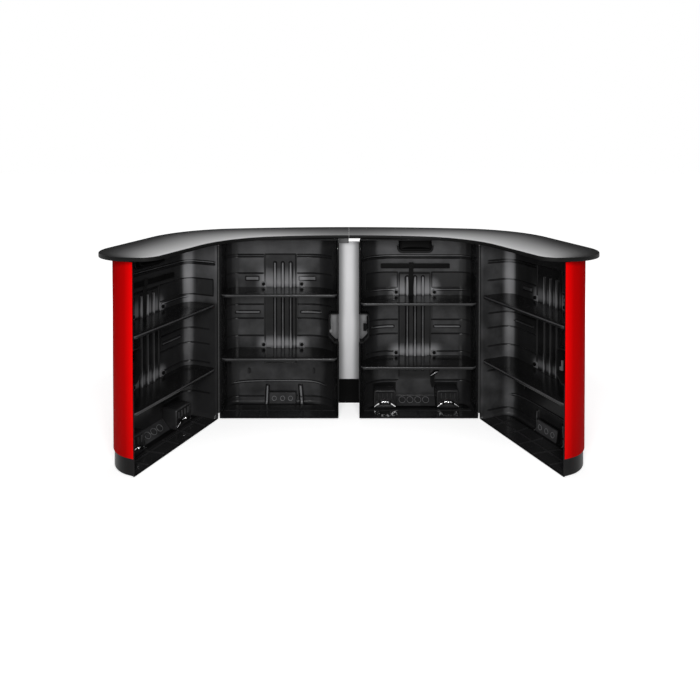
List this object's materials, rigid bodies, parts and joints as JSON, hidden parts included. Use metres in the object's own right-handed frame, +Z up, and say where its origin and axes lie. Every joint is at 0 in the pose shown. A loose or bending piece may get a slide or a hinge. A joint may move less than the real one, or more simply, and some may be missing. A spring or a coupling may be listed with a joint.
{
  "type": "portable display counter",
  "caption": "Crescent-topped promotion counter that stands on its own hinged, wheeled hard cases, opened into a U with shelves inside and flexible sheets outside.",
  "frame": {"origin": "centre of the bounding box on the floor plane under the feet", "axes": "+X along the counter to the right as the staff see it, +Y towards the customers, +Z up"},
  "size_m": [2.2268, 1.001, 0.9585],
  "materials": {
    "shell_black": "moulded gloss",
    "shelf_black": "moulded gloss",
    "fitting_black": "moulded",
    "foot_rubber": "matt",
    "hinge_black": "satin",
    "pin_steel": "plain",
    "keeper_steel": "satin",
    "bright_nuts": "bright",
    "wheel_plastic": "moulded",
    "strap_webbing": "woven",
    "buckle_metal": "bright",
    "sheet_red": "satin film",
    "sheet_grey": "satin film",
    "kick_black": "satin",
    "top_laminate": "satin laminate",
    "band_black": "satin",
    "peg_metal": "plain"
  },
  "bodies": {
    "middle": {"left_inner_shell": "shell_black", "left_inner_upper_shelf": "shelf_black", "left_inner_lower_shelf": "shelf_black", "left_inner_shelf_knobs": "fitting_black", "left_inner_feet": "foot_rubber", "left_inner_hinge_leaf": "hinge_black", "left_inner_graphic_sheet": "sheet_red", "left_inner_keeper": "keeper_steel", "right_inner_shell": "shell_black", "right_inner_upper_shelf": "shelf_black", "right_inner_lower_shelf": "shelf_black", "right_inner_shelf_knobs": "fitting_black", "right_inner_feet": "foot_rubber", "right_inner_hinge_leaf": "hinge_black", "right_inner_graphic_sheet": "sheet_red", "right_inner_axles": "bright_nuts", "right_inner_grip_cup": "fitting_black", "right_inner_strap_bar": "fitting_black", "right_inner_strap": "strap_webbing", "right_inner_strap_buckle": "buckle_metal", "left_hinge_pin": "pin_steel", "right_hinge_pin": "pin_steel", "centre_sheet": "sheet_grey", "centre_kick_strip": "kick_black"},
    "left_wing": {"left_end_shell": "shell_black", "left_end_upper_shelf": "shelf_black", "left_end_lower_shelf": "shelf_black", "left_end_shelf_knobs": "fitting_black", "left_end_feet": "foot_rubber", "left_end_hinge_leaf": "hinge_black", "left_end_graphic_sheet": "sheet_red", "left_end_axles": "bright_nuts", "left_end_grip_cup": "fitting_black", "left_end_strap_bar": "fitting_black", "left_end_strap": "strap_webbing", "left_end_strap_buckle": "buckle_metal"},
    "right_wing": {"right_end_shell": "shell_black", "right_end_upper_shelf": "shelf_black", "right_end_lower_shelf": "shelf_black", "right_end_shelf_knobs": "fitting_black", "right_end_feet": "foot_rubber", "right_end_hinge_leaf": "hinge_black", "right_end_graphic_sheet": "sheet_red", "right_end_keeper": "keeper_steel"},
    "left_countertop": {"left_top_board": "top_laminate", "left_top_edge_band": "band_black", "left_top_pegs": "peg_metal", "left_top_pads": "foot_rubber"},
    "right_countertop": {"right_top_board": "top_laminate", "right_top_edge_band": "band_black", "right_top_pegs": "peg_metal", "right_top_pads": "foot_rubber"},
    "left_hinge_side_wheel": {"left_end_hinge_wheel": "wheel_plastic"},
    "left_free_side_wheel": {"left_end_free_wheel": "wheel_plastic"},
    "right_hinge_side_wheel": {"right_inner_hinge_wheel": "wheel_plastic"},
    "right_free_side_wheel": {"right_inner_free_wheel": "wheel_plastic"},
    "left_latch": {"left_end_latch": "fitting_black"},
    "right_latch": {"right_inner_latch": "fitting_black"}
  },
  "joints": [
    {"name": "left_case_hinge", "type": "hinge", "parent": "middle", "child": "left_wing", "pos_m": [-0.679, 0.131, 0.47], "axis": [0, 0, 1], "range_deg": [0, 112.8]},
    {"name": "right_case_hinge", "type": "hinge", "parent": "middle", "child": "right_wing", "pos_m": [0.679, 0.131, 0.47], "axis": [0, 0, -1], "range_deg": [0, 112.8]},
    {"name": "left_countertop_lift", "type": "slide", "parent": "middle", "child": "left_countertop", "axis": [0, 0, 1], "range_m": [0, 0.12]},
    {"name": "right_countertop_lift", "type": "slide", "parent": "middle", "child": "right_countertop", "axis": [0, 0, 1], "range_m": [0, 0.12]},
    {"name": "left_hinge_side_wheel_spin", "type": "hinge", "parent": "left_wing", "child": "left_hinge_side_wheel", "pos_m": [-0.89217, 0.06386, 0.045], "axis": [0.3875, 0.9219, 0], "continuous": true},
    {"name": "right_hinge_side_wheel_spin", "type": "hinge", "parent": "middle", "child": "right_hinge_side_wheel", "pos_m": [0.5345, 0.3015, 0.045], "axis": [1, 0, 0], "continuous": true},
    {"name": "left_free_side_wheel_spin", "type": "hinge", "parent": "left_wing", "child": "left_free_side_wheel", "pos_m": [-1.02393, -0.24957, 0.045], "axis": [0.3875, 0.9219, 0], "continuous": true},
    {"name": "right_free_side_wheel_spin", "type": "hinge", "parent": "middle", "child": "right_free_side_wheel", "pos_m": [0.1945, 0.3015, 0.045], "axis": [1, 0, 0], "continuous": true},
    {"name": "left_latch_turn", "type": "hinge", "parent": "left_wing", "child": "left_latch", "pos_m": [-0.928, -0.39295, 0.476], "axis": [0.3875, 0.9219, 0], "range_deg": [0, 90]},
    {"name": "right_latch_turn", "type": "hinge", "parent": "middle", "child": "right_latch", "pos_m": [0.0995, 0.1575, 0.476], "axis": [1, 0, 0], "range_deg": [0, 90]}
  ]
}
